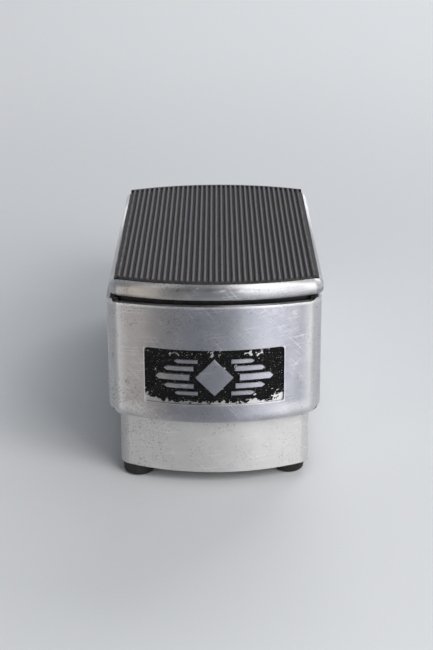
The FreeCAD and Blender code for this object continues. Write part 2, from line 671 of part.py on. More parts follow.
def dust_skirt():
    """Bent sheet, upright inside the housing walls; it closes the gap as the toe rises."""
    top = -RIM_DEPTH
    down = V(0, math.sin(SLOPE), -math.cos(SLOPE)) * 60

    def prism(inset):
        return Part.Face(skirt_outline(inset, top)).extrude(down)

    wall = prism(0).cut(prism(SKIRT_SHEET))
    flange = Part.Face(skirt_outline(0.6, top)).extrude(V(0, 0, -SKIRT_SHEET))
    flange = flange.cut(Part.Face(skirt_outline(SKIRT_FLANGE, top + 1)).extrude(V(0, 0, -4)))
    side_view = [
        (-2, top), (SKIRT_END_S, top), (SKIRT_END_S, top - SKIRT_DEPTH_END),
        (12, top - SKIRT_DEPTH_TOE), (-2, top - SKIRT_DEPTH_TOE), (-2, top),
    ]
    keep = Part.Face(Part.makePolygon([V(-60, s, h) for s, h in side_view]))
    sheet = wall.fuse(flange).common(keep.extrude(V(120, 0, 0)))
    for x, s in SKIRT_SCREWS:
        sheet = sheet.cut(rod_z(SMALL_SCREW_RADIUS, top - 3, top + 1, x, s))
    return to_treadle(sheet.removeSplitter())


def dust_skirt_screws():
    screw = pan_screw(2.8, 1.7, SMALL_SCREW_RADIUS, SKIRT_SHEET + 3.4)
    seat = -RIM_DEPTH - SKIRT_SHEET
    return Part.makeCompound([
        to_treadle(placed(screw, V(x, s, seat), V(0, 0, -1))) for x, s in SKIRT_SCREWS])


# ---- gear sector and pinion ---------------------------------------------------------
def polar(radius, angle, x):
    """Point round the axle; angles are measured up from the toe direction."""
    return V(x, AXLE_Y - radius * math.cos(angle), AXLE_Z + radius * math.sin(angle))


def gear_sector():
    """Toothed plate round the axle, with a tab for its screws at the upper end."""
    x0, x1 = SECTOR_X
    tip = SECTOR_RADIUS + SECTOR_ADDENDUM
    root = SECTOR_RADIUS - SECTOR_DEDENDUM
    half_pitch = math.pi * GEAR_MODULE / 4 - BACKLASH
    half_tip = (half_pitch - SECTOR_ADDENDUM * math.tan(PRESSURE)) / tip
    half_root = (half_pitch + SECTOR_DEDENDUM * math.tan(PRESSURE)) / root
    low = -(SECTOR_TEETH_BELOW + 0.2) * TOOTH_PITCH
    high = math.radians(TREADLE_SLOPE + 6.0)
    points = [polar(SECTOR_INNER_RADIUS, low, x0), polar(root, low, x0)]
    for k in range(-SECTOR_TEETH_BELOW, SECTOR_TEETH_ABOVE + 1):
        middle = (k + 0.5) * TOOTH_PITCH
        points += [polar(root, middle - half_root, x0), polar(tip, middle - half_tip, x0),
                   polar(tip, middle + half_tip, x0), polar(root, middle + half_root, x0)]
    end = (SECTOR_TEETH_ABOVE + 1) * TOOTH_PITCH
    steps = 5
    points += [polar(root, end + (high - end) * k / steps, x0) for k in range(1, steps + 1)]
    points += [polar(SECTOR_INNER_RADIUS, high + (low - high) * k / 12, x0) for k in range(0, 13)]
    plate = Part.Face(Part.makePolygon(points)).extrude(V(x1 - x0, 0, 0))
    s0, s1 = SECTOR_LUG_S
    tab = to_treadle(block(x0, x1, s0, s1, SECTOR_LUG_H, DECK_UNDER - 0.5))
    plate = plate.fuse(tab).removeSplitter()
    for s, h in SECTOR_SCREWS:
        plate = plate.cut(to_treadle(rod_x(SMALL_SCREW_RADIUS, x0 - 1, x1 + 1, s, h)))
    return plate


def gear_sector_screws():
    screw = pan_screw(2.8, 1.7, SMALL_SCREW_RADIUS, SECTOR_X[1] - SECTOR_X[0] + 6)
    return Part.makeCompound([
        to_treadle(placed(screw, V(SECTOR_X[0], s, h), V(-1, 0, 0))) for s, h in SECTOR_SCREWS])


def involute(angle):
    return math.tan(angle) - angle


def pinion():
    """Twelve involute teeth on a hub with a set screw."""
    x0 = SECTOR_X[0] - 1.0
    x1 = SECTOR_X[1] + 1.0
    base = PINION_RADIUS * math.cos(PRESSURE)
    tip = PINION_RADIUS + PINION_ADDENDUM
    root = PINION_RADIUS - PINION_DEDENDUM
    half_pitch = math.pi / (2 * PINION_TEETH) - BACKLASH / PINION_RADIUS

    def half_angle(radius):
        if radius <= base:
            return half_pitch + involute(PRESSURE)
        return half_pitch + involute(PRESSURE) - involute(math.acos(base / radius))

    flank = [root, base, PINION_RADIUS, (PINION_RADIUS + tip) / 2, tip]
    points = []
    for k in range(PINION_TEETH):
        middle = 2 * math.pi * k / PINION_TEETH
        rising = [(r, middle - half_angle(r)) for r in flank]
        falling = [(r, middle + half_angle(r)) for r in reversed(flank)]
        for r, a in rising + falling:
            points.append(V(x0, POT_Y + r * math.cos(a), POT_Z + r * math.sin(a)))
    gear = Part.Face(Part.makePolygon(points + points[:1])).extrude(V(x1 - x0, 0, 0))
    gear = gear.fuse(rod_x(root - 0.1, x1, x1 + 3.4, POT_Y, POT_Z))
    gear = gear.cut(rod_x(SHAFT_RADIUS, x0 - 1, x1 + 5, POT_Y, POT_Z))
    return gear.cut(rod_z(0.8, POT_Z, POT_Z + 8, x1 + 1.8, POT_Y))


def pinion_set_screw():
    low = POT_Z + SHAFT_RADIUS
    high = POT_Z + PINION_RADIUS - PINION_DEDENDUM - 0.15
    return rod_z(0.8, low, high, SECTOR_X[1] + 2.8, POT_Y)


# ---- potentiometer ------------------------------------------------------------------
def pot_bracket():
    x0, x1 = BRACKET_X
    y0 = POT_Y - BRACKET_HALF
    y1 = POT_Y + BRACKET_HALF
    plate = block(x0, x1, y0, y1, BASE_TOP, POT_Z)
    plate = plate.fuse(rod_x(BRACKET_HALF, x0, x1, POT_Y, POT_Z))
    foot = block(x0, x1 + BRACKET_FOOT, y0, y1, BASE_TOP, BASE_TOP + 2)
    bracket = plate.fuse(foot).removeSplitter()
    bracket = bracket.cut(rod_x(POT_BUSH_RADIUS, x0 - 1, x1 + 1, POT_Y, POT_Z))
    for y in BRACKET_SCREW_Y:
        hole = rod_z(BRACKET_SCREW_RADIUS, BASE_TOP - 1, BASE_TOP + 4, BRACKET_SCREW_X, y)
        bracket = bracket.cut(hole)
    return bracket


def pot_bracket_screws():
    screw = pan_screw(3.0, 1.8, BRACKET_SCREW_RADIUS, BASE_THICKNESS + 2 + 1.5)
    return Part.makeCompound([
        placed(screw, V(BRACKET_SCREW_X, y, FOOT_HEIGHT), V(0, 0, -1)) for y in BRACKET_SCREW_Y])


def pot_can():
    """Drawn cup over the track, its rim on the wafer."""
    back = POT_FACE + 12
    outside = rod_x(POT_CAN_RADIUS, POT_WAFER_BACK, back, POT_Y, POT_Z)
    inner = POT_CAN_RADIUS - POT_CAN_SHEET
    return outside.cut(rod_x(inner, POT_WAFER_BACK - 0.1, back - POT_CAN_SHEET, POT_Y, POT_Z))


def pot_wafer():
    """Phenolic disc with a tongue for the lugs and a hole for the shaft."""
    x0 = POT_FACE + POT_PLATE
    disc = rod_x(POT_CAN_RADIUS, x0, POT_WAFER_BACK, POT_Y, POT_Z)
    tongue = block(x0, POT_WAFER_BACK, POT_Y - 8, POT_Y + 8, POT_Z - 18, POT_Z - 6)
    wafer = disc.fuse(tongue).removeSplitter()
    return wafer.cut(rod_x(POT_BUSH_RADIUS, POT_FACE, POT_FACE + 5, POT_Y, POT_Z))


def pot_bushing():
    """Threaded bushing with the front plate that the wafer is riveted to."""
    bush = rod_x(POT_BUSH_RADIUS, POT_FACE - 6.5, POT_WAFER_BACK, POT_Y, POT_Z)
    plate = rod_x(POT_CAN_RADIUS - 0.5, POT_FACE, POT_FACE + POT_PLATE, POT_Y, POT_Z)
    bore = rod_x(SHAFT_RADIUS + 0.03, POT_FACE - 8, POT_FACE + 5, POT_Y, POT_Z)
    return bush.fuse(plate).removeSplitter().cut(bore)


def pot_lugs():
    x0 = POT_WAFER_BACK
    x1 = x0 + POT_LUG_SHEET
    return Part.makeCompound([
        block(x0, x1, y - 1.2, y + 1.2, POT_LUG_END_Z, POT_Z - 13) for y in POT_LUG_Y])


def pot_lock_washer():
    face = BRACKET_X[0]
    return ring_x(7.0, POT_BUSH_RADIUS, face - POT_LOCK_WASHER, face, POT_Y, POT_Z)


def pot_nut():
    face = BRACKET_X[0] - POT_LOCK_WASHER
    return placed(hex_nut(12.5, POT_BUSH_RADIUS, 2.2), V(face, POT_Y, POT_Z), V(-1, 0, 0))


def pot_shaft():
    return rod_x(SHAFT_RADIUS, SECTOR_X[0] - 3, POT_FACE + 8, POT_Y, POT_Z)


def pot_wiper():
    """Spring arm that turns with the shaft inside the can."""
    x0 = POT_FACE + 4.4
    hub = ring_x(5.0, SHAFT_RADIUS, x0, x0 + 2.0, POT_Y, POT_Z)
    arm = block(x0, x0 + 0.6, POT_Y - 1.5, POT_Y + 1.5, POT_Z + 4.5, POT_Z + 9.8)
    return hub.fuse(arm).removeSplitter()


# ---- jacks --------------------------------------------------------------------------
def jack_bushing():
    """Threaded bushing with its flange inside the wall."""
    seat = JACK_WALL_INNER - JACK_FRAME_SHEET
    bush = rod_x(JACK_BUSH, seat, JACK_FACE_X + 3.6, JACK_Y, JACK_Z)
    flange = rod_x(6.6, seat - 1.0, seat, JACK_Y, JACK_Z)
    bore = rod_x(JACK_BORE, seat - 3, JACK_FACE_X + 6, JACK_Y, JACK_Z)
    return bush.fuse(flange).removeSplitter().cut(bore)


def jack_frame():
    """Bent strip: an upright round the bushing and a leg under the plug's path."""
    x1 = JACK_WALL_INNER
    x0 = x1 - JACK_FRAME_SHEET
    z0 = JACK_Z - JACK_LEG_DROP
    upright = block(x0, x1, JACK_Y - 7.5, JACK_Y + 7.5, z0, JACK_Z + 7.5)
    upright = upright.cut(rod_x(JACK_BUSH, x0 - 1, x1 + 1, JACK_Y, JACK_Z))
    leg = block(JACK_STACK_X[0] - 2, x1, JACK_Y - 4, JACK_Y + 4, z0, JACK_LEG_Z)
    return upright.fuse(leg).removeSplitter()


def jack_insulators():
    x0, x1 = JACK_STACK_X
    z0, z1 = JACK_STACK_Z
    return block(x0, x1, JACK_Y - 3.6, JACK_Y + 3.6, z0, z1)


def jack_tip_spring():
    """Leaf from the stack to a bent tip beside the plug's groove, with a solder tail."""
    sheet = JACK_SPRING_SHEET
    x0, x1 = JACK_STACK_X
    z0 = JACK_STACK_Z[1]
    centre = [(x1, z0), (x0 - 3.0, z0), (x0 - 5.5, z0 + 2.6), (x0 - 7.5, z0 + 1.2)]
    lower = [V(x, JACK_Y - 2.0, z) for x, z in centre]
    upper = [V(x, JACK_Y - 2.0, z + sheet) for x, z in reversed(centre)]
    leaf = Part.Face(Part.makePolygon(lower + upper + lower[:1])).extrude(V(0, 4, 0))
    tail = block(x1 - 3.0, x1 - 0.6, JACK_Y - 9.0, JACK_Y - 2.0, z0, z0 + sheet)
    return leaf.fuse(tail).removeSplitter()


def jack_washer():
    return ring_x(7.2, JACK_BUSH, JACK_FACE_X, JACK_FACE_X + JACK_WASHER, JACK_Y, JACK_Z)


def jack_nut():
    seat = V(JACK_FACE_X + JACK_WASHER, JACK_Y, JACK_Z)
    return placed(hex_nut(12.7, JACK_BUSH, 2.3), seat, X_AXIS)


# ---- hookup wires -------------------------------------------------------------------
def wire_tube(points):
    """Round tube along straight runs joined by tangent arcs."""
    edges = []
    start = points[0]
    for before, corner, after in zip(points, points[1:], points[2:]):
        into = before - corner
        out = after - corner
        turn = math.pi - into.getAngle(out)
        reach = 0.45 * min(into.Length, out.Length)
        first = corner + into.normalize() * reach
        last = corner + out.normalize() * reach
        radius = reach / math.tan(turn / 2)
        bisector = (into + out).normalize()
        middle = corner + bisector * (radius / math.cos(turn / 2) - radius)
        edges.append(Part.LineSegment(start, first).toShape())
        edges.append(Part.Arc(first, middle, last).toShape())
        start = last
    edges.append(Part.LineSegment(start, points[-1]).toShape())
    path = Part.Wire(edges)
    direction = points[1] - points[0]
    section = Part.Wire(Part.makeCircle(WIRE_RADIUS, points[0], direction))
    return path.makePipeShell([section], True, True)


def input_wire():
    """From the right jack's solder tail forward and up to the nearest pot lug."""
    x = POT_LUG_X
    y = POT_LUG_Y[2]
    return wire_tube([
        V(TAIL_X, TAIL_Y, TAIL_Z),
        V(TAIL_X, TAIL_Y - 9, TAIL_Z + 0.8),
        V(TAIL_X - 3, TAIL_Y - 19, TAIL_Z - 1.5),
        V(TAIL_X - 8, TAIL_Y - 28, TAIL_Z - 2),
        V(x + 3, y + 3.5, TAIL_Z + 2),
        V(x, y, POT_LUG_END_Z - 5.5),
        V(x, y, POT_LUG_END_Z + 2),
    ])


def output_wire():
    """From the left jack's solder tail across the base plate to the middle pot lug."""
    x = POT_LUG_X
    y = POT_LUG_Y[1]
    return wire_tube([
        V(-TAIL_X, TAIL_Y, TAIL_Z),
        V(-TAIL_X, TAIL_Y - 6, TAIL_Z + 0.5),
        V(-TAIL_X + 7, TAIL_Y - 13, TAIL_Z - 2),
        V(-TAIL_X + 17, TAIL_Y - 17, TAIL_Z - 2.5),
        V(-TAIL_X + 29, TAIL_Y - 17, TAIL_Z - 2),
        V(-TAIL_X + 40, TAIL_Y - 20, TAIL_Z - 3),
        V(x + 0.5, y + 10, TAIL_Z - 3),
        V(x, y + 2, TAIL_Z),
        V(x, y, POT_LUG_END_Z - 6),
        V(x, y, POT_LUG_END_Z + 2),
    ])


def ground_wire():
    """Joins the legs of the two jack frames, over the base plate."""
    z = JACK_LEG_Z + WIRE_RADIUS
    x = JACK_STACK_X[0] - 1.2
    return wire_tube([
        V(x, JACK_Y + 3.2, z),
        V(x - 1, JACK_Y + 11, z + 0.2),
        V(8, JACK_Y + 16, z + 0.8),
        V(-6, JACK_Y + 17, z + 0.5),
        V(-x + 2, JACK_Y + 11, z),
        V(-x, JACK_Y + 3.2, z),
    ])


# ---- all parts ----------------------------------------------------------------------
def jack_parts(name, place):
    pieces = {
        "bushing": jack_bushing, "frame": jack_frame, "insulators": jack_insulators,
        "tip_spring": jack_tip_spring, "washer": jack_washer, "nut": jack_nut,
    }
    return {f"{name}_{piece}": place(make()) for piece, make in pieces.items()}


def all_parts():
    parts = {
        "housing_casting": housing_casting(),
        "badge_enamel": badge_enamel(),
        "base_plate": base_plate(),
        "base_plate_screws": base_plate_screws(),
        "foot_screws": foot_screws(),
        "foot_nuts": foot_nuts(),
        "pivot_axle": pivot_axle(),
        "axle_end_screws": axle_end_screws(),
        "axle_cup_washers": axle_washers(),
        "thrust_washer": thrust_washer(),
        "axle_spacer": axle_spacer(),
        "spring_washer": spring_washer(),
        "axle_bush_left": axle_bush(-1),
        "axle_bush_right": axle_bush(1),
        "treadle_casting": treadle_casting(),
        "tread_mat": tread_mat(),
        "dust_skirt": dust_skirt(),
        "dust_skirt_screws": dust_skirt_screws(),
        "gear_sector": gear_sector(),
        "gear_sector_screws": gear_sector_screws(),
        "pinion": pinion(),
        "pinion_set_screw": pinion_set_screw(),
        "pot_bracket": pot_bracket(),
        "pot_bracket_screws": pot_bracket_screws(),
        "pot_can": pot_can(),
        "pot_wafer": pot_wafer(),
        "pot_bushing": pot_bushing(),
        "pot_lugs": pot_lugs(),
        "pot_lock_washer": pot_lock_washer(),
        "pot_nut": pot_nut(),
        "pot_shaft": pot_shaft(),
        "pot_wiper": pot_wiper(),
        "input_wire": input_wire(),
        "output_wire": output_wire(),
        "ground_wire": ground_wire(),
    }
    for name, (x, y) in FOOT_CENTRES.items():
        parts["foot_" + name] = placed(rubber_foot(), V(x, y, 0))
    for side, label in ((-1, "left"), (1, "right")):
        parts["toe_felt_" + label] = felt_strip(side, True)
        parts["heel_felt_" + label] = felt_strip(side, False)
    parts.update(jack_parts("input_jack", lambda shape: shape))
    parts.update(jack_parts("output_jack", mirrored))
    return parts


os.makedirs("parts", exist_ok=True)
for node, shape in all_parts().items():
    shape.exportStep(f"parts/{node}.step")
    print(node, "solids", len(shape.Solids), "valid", shape.isValid(), "volume", round(shape.Volume, 2))
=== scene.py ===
import json
import math

import bpy
from mathutils import Matrix, Vector, noise

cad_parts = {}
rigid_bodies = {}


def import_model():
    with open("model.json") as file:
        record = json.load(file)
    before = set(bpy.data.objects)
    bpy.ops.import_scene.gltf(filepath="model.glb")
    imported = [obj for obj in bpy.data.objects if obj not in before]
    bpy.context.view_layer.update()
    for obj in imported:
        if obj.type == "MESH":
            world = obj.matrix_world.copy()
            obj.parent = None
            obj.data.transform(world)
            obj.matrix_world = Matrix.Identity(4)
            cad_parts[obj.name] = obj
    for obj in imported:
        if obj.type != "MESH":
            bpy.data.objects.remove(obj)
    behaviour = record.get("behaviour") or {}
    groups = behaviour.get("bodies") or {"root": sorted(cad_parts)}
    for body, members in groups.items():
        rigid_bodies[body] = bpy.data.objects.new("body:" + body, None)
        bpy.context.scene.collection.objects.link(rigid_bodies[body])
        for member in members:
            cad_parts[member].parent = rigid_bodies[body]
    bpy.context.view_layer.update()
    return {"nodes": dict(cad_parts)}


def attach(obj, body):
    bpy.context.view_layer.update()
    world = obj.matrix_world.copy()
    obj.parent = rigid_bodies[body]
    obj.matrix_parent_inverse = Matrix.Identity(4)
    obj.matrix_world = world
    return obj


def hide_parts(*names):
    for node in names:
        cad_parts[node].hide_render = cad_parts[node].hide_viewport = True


for leftover in list(bpy.data.objects):
    bpy.data.objects.remove(leftover)

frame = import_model()

# Lengths are in millimetres, and become metres where they meet Blender.
MM = 0.001

# ---- the pedal ----------------------------------------------------------------------------
HALF_LENGTH = 117.55        # from the middle to the toe or the heel
STEP_LOW = 33.2             # below this the plinth's finish, above STEP_HIGH the upper body's
STEP_HIGH = 33.8

# ---- the treadle's own frame: x, s from the toe edge, h over the rim ------------------------
SLOPE = math.radians(10.3)
TREADLE_WIDTH = 101.6
TREADLE_LENGTH = 237.6
TREADLE_TOP = 107.6         # height of the rim's top at the toe
TREADLE_SHIFT = 1.1
TREADLE_TOE_RADIUS = 100.0
TREADLE_HEEL_RADIUS = 89.5
RIM_DEPTH = 8.1
TOE_Y = -HALF_LENGTH + RIM_DEPTH * math.sin(SLOPE)

# ---- the toe wall and its badge -------------------------------------------------------------
TOE_RADIUS = 112.0
BOW_Y = -HALF_LENGTH + TOE_RADIUS
WALL_TOP = -RIM_DEPTH - 2.8    # h of the toe wall's top edge
INNER_HALF = 49.3              # half the width that the inner faces, painted dark as shade, take up
BADGE_HALF = 33.2
BADGE_LOW = 45.4
BADGE_HIGH = 74.2
BADGE_MIDDLE = 0.5 * (BADGE_LOW + BADGE_HIGH)
BADGE_REACH = 0.5 * (BADGE_HIGH - BADGE_LOW)
BADGE_DEPTH = 1.2
BADGE_BORDER = 0.45            # width of the painted highlight border at the badge's sides and foot

# ---- the ribbed mat -------------------------------------------------------------------------
MAT_INSET = 2.6
MAT_HALF = TREADLE_WIDTH / 2 - MAT_INSET
MAT_TOE_RADIUS = TREADLE_TOE_RADIUS - MAT_INSET
MAT_HEEL_RADIUS = TREADLE_HEEL_RADIUS - MAT_INSET
MAT_END = TREADLE_LENGTH - MAT_INSET
MAT_BOTTOM = -2.5
MAT_TOP = 1.4
GROOVE_DEPTH = 1.4
GROOVE_FLOOR = 0.18         # flat at the foot of each groove
MAT_LOW = MAT_TOP - GROOVE_DEPTH
RIBS = 35
RIB_CREST = 0.68            # flat of each rib's top
CREST_CORNER = 0.12         # the crest's corners are cut this far in
CREST_DROP = 0.06           # and this far down
RIB_ROWS = 60               # rows of faces along the ribs
SIDE_STRIP = 0.8            # low strip along each side
END_STRIP = 1.5             # plain strip across the heel end
END_RAMP = 0.25             # length over which the grooves come up to that strip
END_DROP = 0.12             # the strip lies this much under the crests


def from_treadle(x, s, h):
    """A point of the treadle's own frame as world metres."""
    y = TOE_Y + s * math.cos(SLOPE) + h * math.sin(SLOPE)
    z = TREADLE_TOP - s * math.sin(SLOPE) + h * math.cos(SLOPE)
    return Vector((x + TREADLE_SHIFT, y, z)) * MM


# ---- camera ---------------------------------------------------------------------------------
CAMERA_PLACE = (1.85, -984.25, 497.4)
CAMERA_ANGLES = (25.3, -0.05, -0.29)    # pitch down, yaw and roll, degrees
SENSOR_HEIGHT = 36.0
LENS = 113.53846


def add_camera():
    """Looks down at the toe end through a long lens."""
    pitch, yaw, roll = (math.radians(angle) for angle in CAMERA_ANGLES)
    level_part = math.cos(pitch)
    forward = Vector((math.sin(yaw) * level_part, math.cos(yaw) * level_part, -math.sin(pitch)))
    level = Vector((math.cos(yaw), -math.sin(yaw), 0))
    up = level.cross(forward)
    right = math.cos(roll) * level + math.sin(roll) * up
    top = -math.sin(roll) * level + math.cos(roll) * up
    data = bpy.data.cameras.new("camera")
    data.sensor_fit = "VERTICAL"
    data.sensor_height = SENSOR_HEIGHT
    data.lens = LENS
    data.clip_start = 0.01
    camera = bpy.data.objects.new("camera", data)
    turn = Matrix((right, top, -forward)).transposed().to_4x4()
    camera.matrix_world = Matrix.Translation(Vector(CAMERA_PLACE) * MM) @ turn
    bpy.context.scene.collection.objects.link(camera)
    bpy.context.scene.camera = camera


add_camera()


# ---- node material helper -------------------------------------------------------------------
class Finish:
    """Builds one node material on a Principled shader; lengths are in millimetres."""

    def __init__(self, name, **constants):
        self.material = bpy.data.materials.new(name)
        self.material.use_nodes = True
        self.tree = self.material.node_tree
        self.shader = next(n for n in self.tree.nodes if n.type == "BSDF_PRINCIPLED")
        for socket, value in constants.items():
            self.shader.inputs[socket.replace("_", " ")].default_value = value
        self.place = self.add("ShaderNodeTexCoord").outputs["Object"]

    def add(self, kind, sockets=(), **settings):
        node = self.tree.nodes.new(kind)
        for key, value in settings.items():
            setattr(node, key, value)
        for key, value in dict(sockets).items():
            if isinstance(value, bpy.types.NodeSocket):
                self.tree.links.new(value, node.inputs[key])
            else:
                node.inputs[key].default_value = value
        return node

    def coords(self, stretch=(1, 1, 1), turn=(0, 0, 0), shift=(0, 0, 0)):
        """Object coordinates in millimetres, each axis divided by its stretch."""
        turned = self.add("ShaderNodeMapping", {
            "Vector": self.place, "Rotation": turn, "Location": [v * MM for v in shift]})
        scale = [1.0 / (MM * s) for s in stretch]
        return self.add("ShaderNodeMapping", {
            "Vector": turned.outputs[0], "Scale": scale}).outputs[0]

    def axes(self, vector):
        """The x, y and z of a vector."""
        return tuple(self.add("ShaderNodeSeparateXYZ", {"Vector": vector}).outputs)

    def noise(self, size, detail=3.0, rough=0.5, coords=None, distortion=0.0):
        node = self.add("ShaderNodeTexNoise", {
            "Vector": coords or self.coords(), "Scale": 1.0 / size, "Detail": detail,
            "Roughness": rough, "Distortion": distortion})
        return node.outputs["Fac"]

    def shifted_noise(self, shift, size, detail=3.0, rough=0.5):
        """Noise that is shifted, so that it doesn't follow the others."""
        return self.noise(size, detail, rough, coords=self.coords(shift=shift))

    def math(self, operation, a, b=0.0, c=0.0):
        return self.add("ShaderNodeMath", {0: a, 1: b, 2: c}, operation=operation).outputs[0]

    def plus(self, first, *others):
        for other in others:
            first = self.math("ADD", first, other)
        return first

    def times(self, first, *others):
        for other in others:
            first = self.math("MULTIPLY", first, other)
        return first

    def minus(self, a, b):
        return self.math("SUBTRACT", a, b)

    def size_of(self, value):
        return self.math("ABSOLUTE", value)

    def within(self, value, middle, reach):
        """1 where the value is no further than reach from the middle, else 0."""
        return self.math("COMPARE", value, middle, reach)

    def step(self, value, low, high, out_low=0.0, out_high=1.0):
        """Smooth step from out_low at low to out_high at high."""
        return self.add("ShaderNodeMapRange", {
            "Value": value, "From Min": low, "From Max": high,
            "To Min": out_low, "To Max": out_high}, interpolation_type="SMOOTHSTEP").outputs[0]

    def below(self, value, low, high):
        """1 below low, 0 above high."""
        return self.step(value, low, high, 1.0, 0.0)

    def line(self, value, width):
        """1 on the contour where a noise passes one half, 0 further off than width."""
        return self.below(self.size_of(self.minus(value, 0.5)), 0.0, width)

    def spots(self, spacing, radius, share):
        """Scattered round spots: a share of the cells of a grid of that spacing has one."""
        cells = self.add("ShaderNodeTexVoronoi", {"Vector": self.coords(), "Scale": 1.0 / spacing})
        chosen = self.add("ShaderNodeSeparateColor", {"Color": cells.outputs["Color"]}).outputs[0]
        near = self.below(cells.outputs["Distance"], 0.6 * radius / spacing, radius / spacing)
        return self.times(near, self.math("LESS_THAN", chosen, share))

    def scratches(self, length, width, turn, low, high, shift=(0, 0, 0)):
        """Short straight scratches on the upright faces, turned from level by an angle."""
        coords = self.coords(stretch=(length, length, width), turn=(0, turn, 0), shift=shift)
        return self.step(self.noise(1.0, 1.0, 0.4, coords=coords), low, high)

    def mix(self, factor, a, b):
        node = self.add("ShaderNodeMix", {"Factor": factor}, data_type="RGBA")
        for socket, value in (("A_Color", a), ("B_Color", b)):
            target = next(i for i in node.inputs if i.identifier == socket)
            if isinstance(value, bpy.types.NodeSocket):
                self.tree.links.new(value, target)
            else:
                target.default_value = (*value, 1.0)
        return next(o for o in node.outputs if o.identifier == "Result_Color")

    def lay(self, color, tint, mask, share):
        """Lays a tint over the colour where the mask is 1, covering that share of it."""
        return self.mix(self.times(mask, share), color, tint)

    def paint(self, color, roughness):
        self.tree.links.new(color, self.shader.inputs["Base Color"])
        self.tree.links.new(roughness, self.shader.inputs["Roughness"])

    def bump(self, height, depth, edge=0.0):
        """Bump of that depth; edge rounds the shading of sharp edges by that radius."""
        sockets = {"Height": height, "Distance": depth * MM, "Strength": 1.0}
        if edge:
            sockets["Normal"] = self.add("ShaderNodeBevel", {"Radius": edge * MM}, samples=4).outputs[0]
        node = self.add("ShaderNodeBump", sockets)
        self.tree.links.new(node.outputs[0], self.shader.inputs["Normal"])


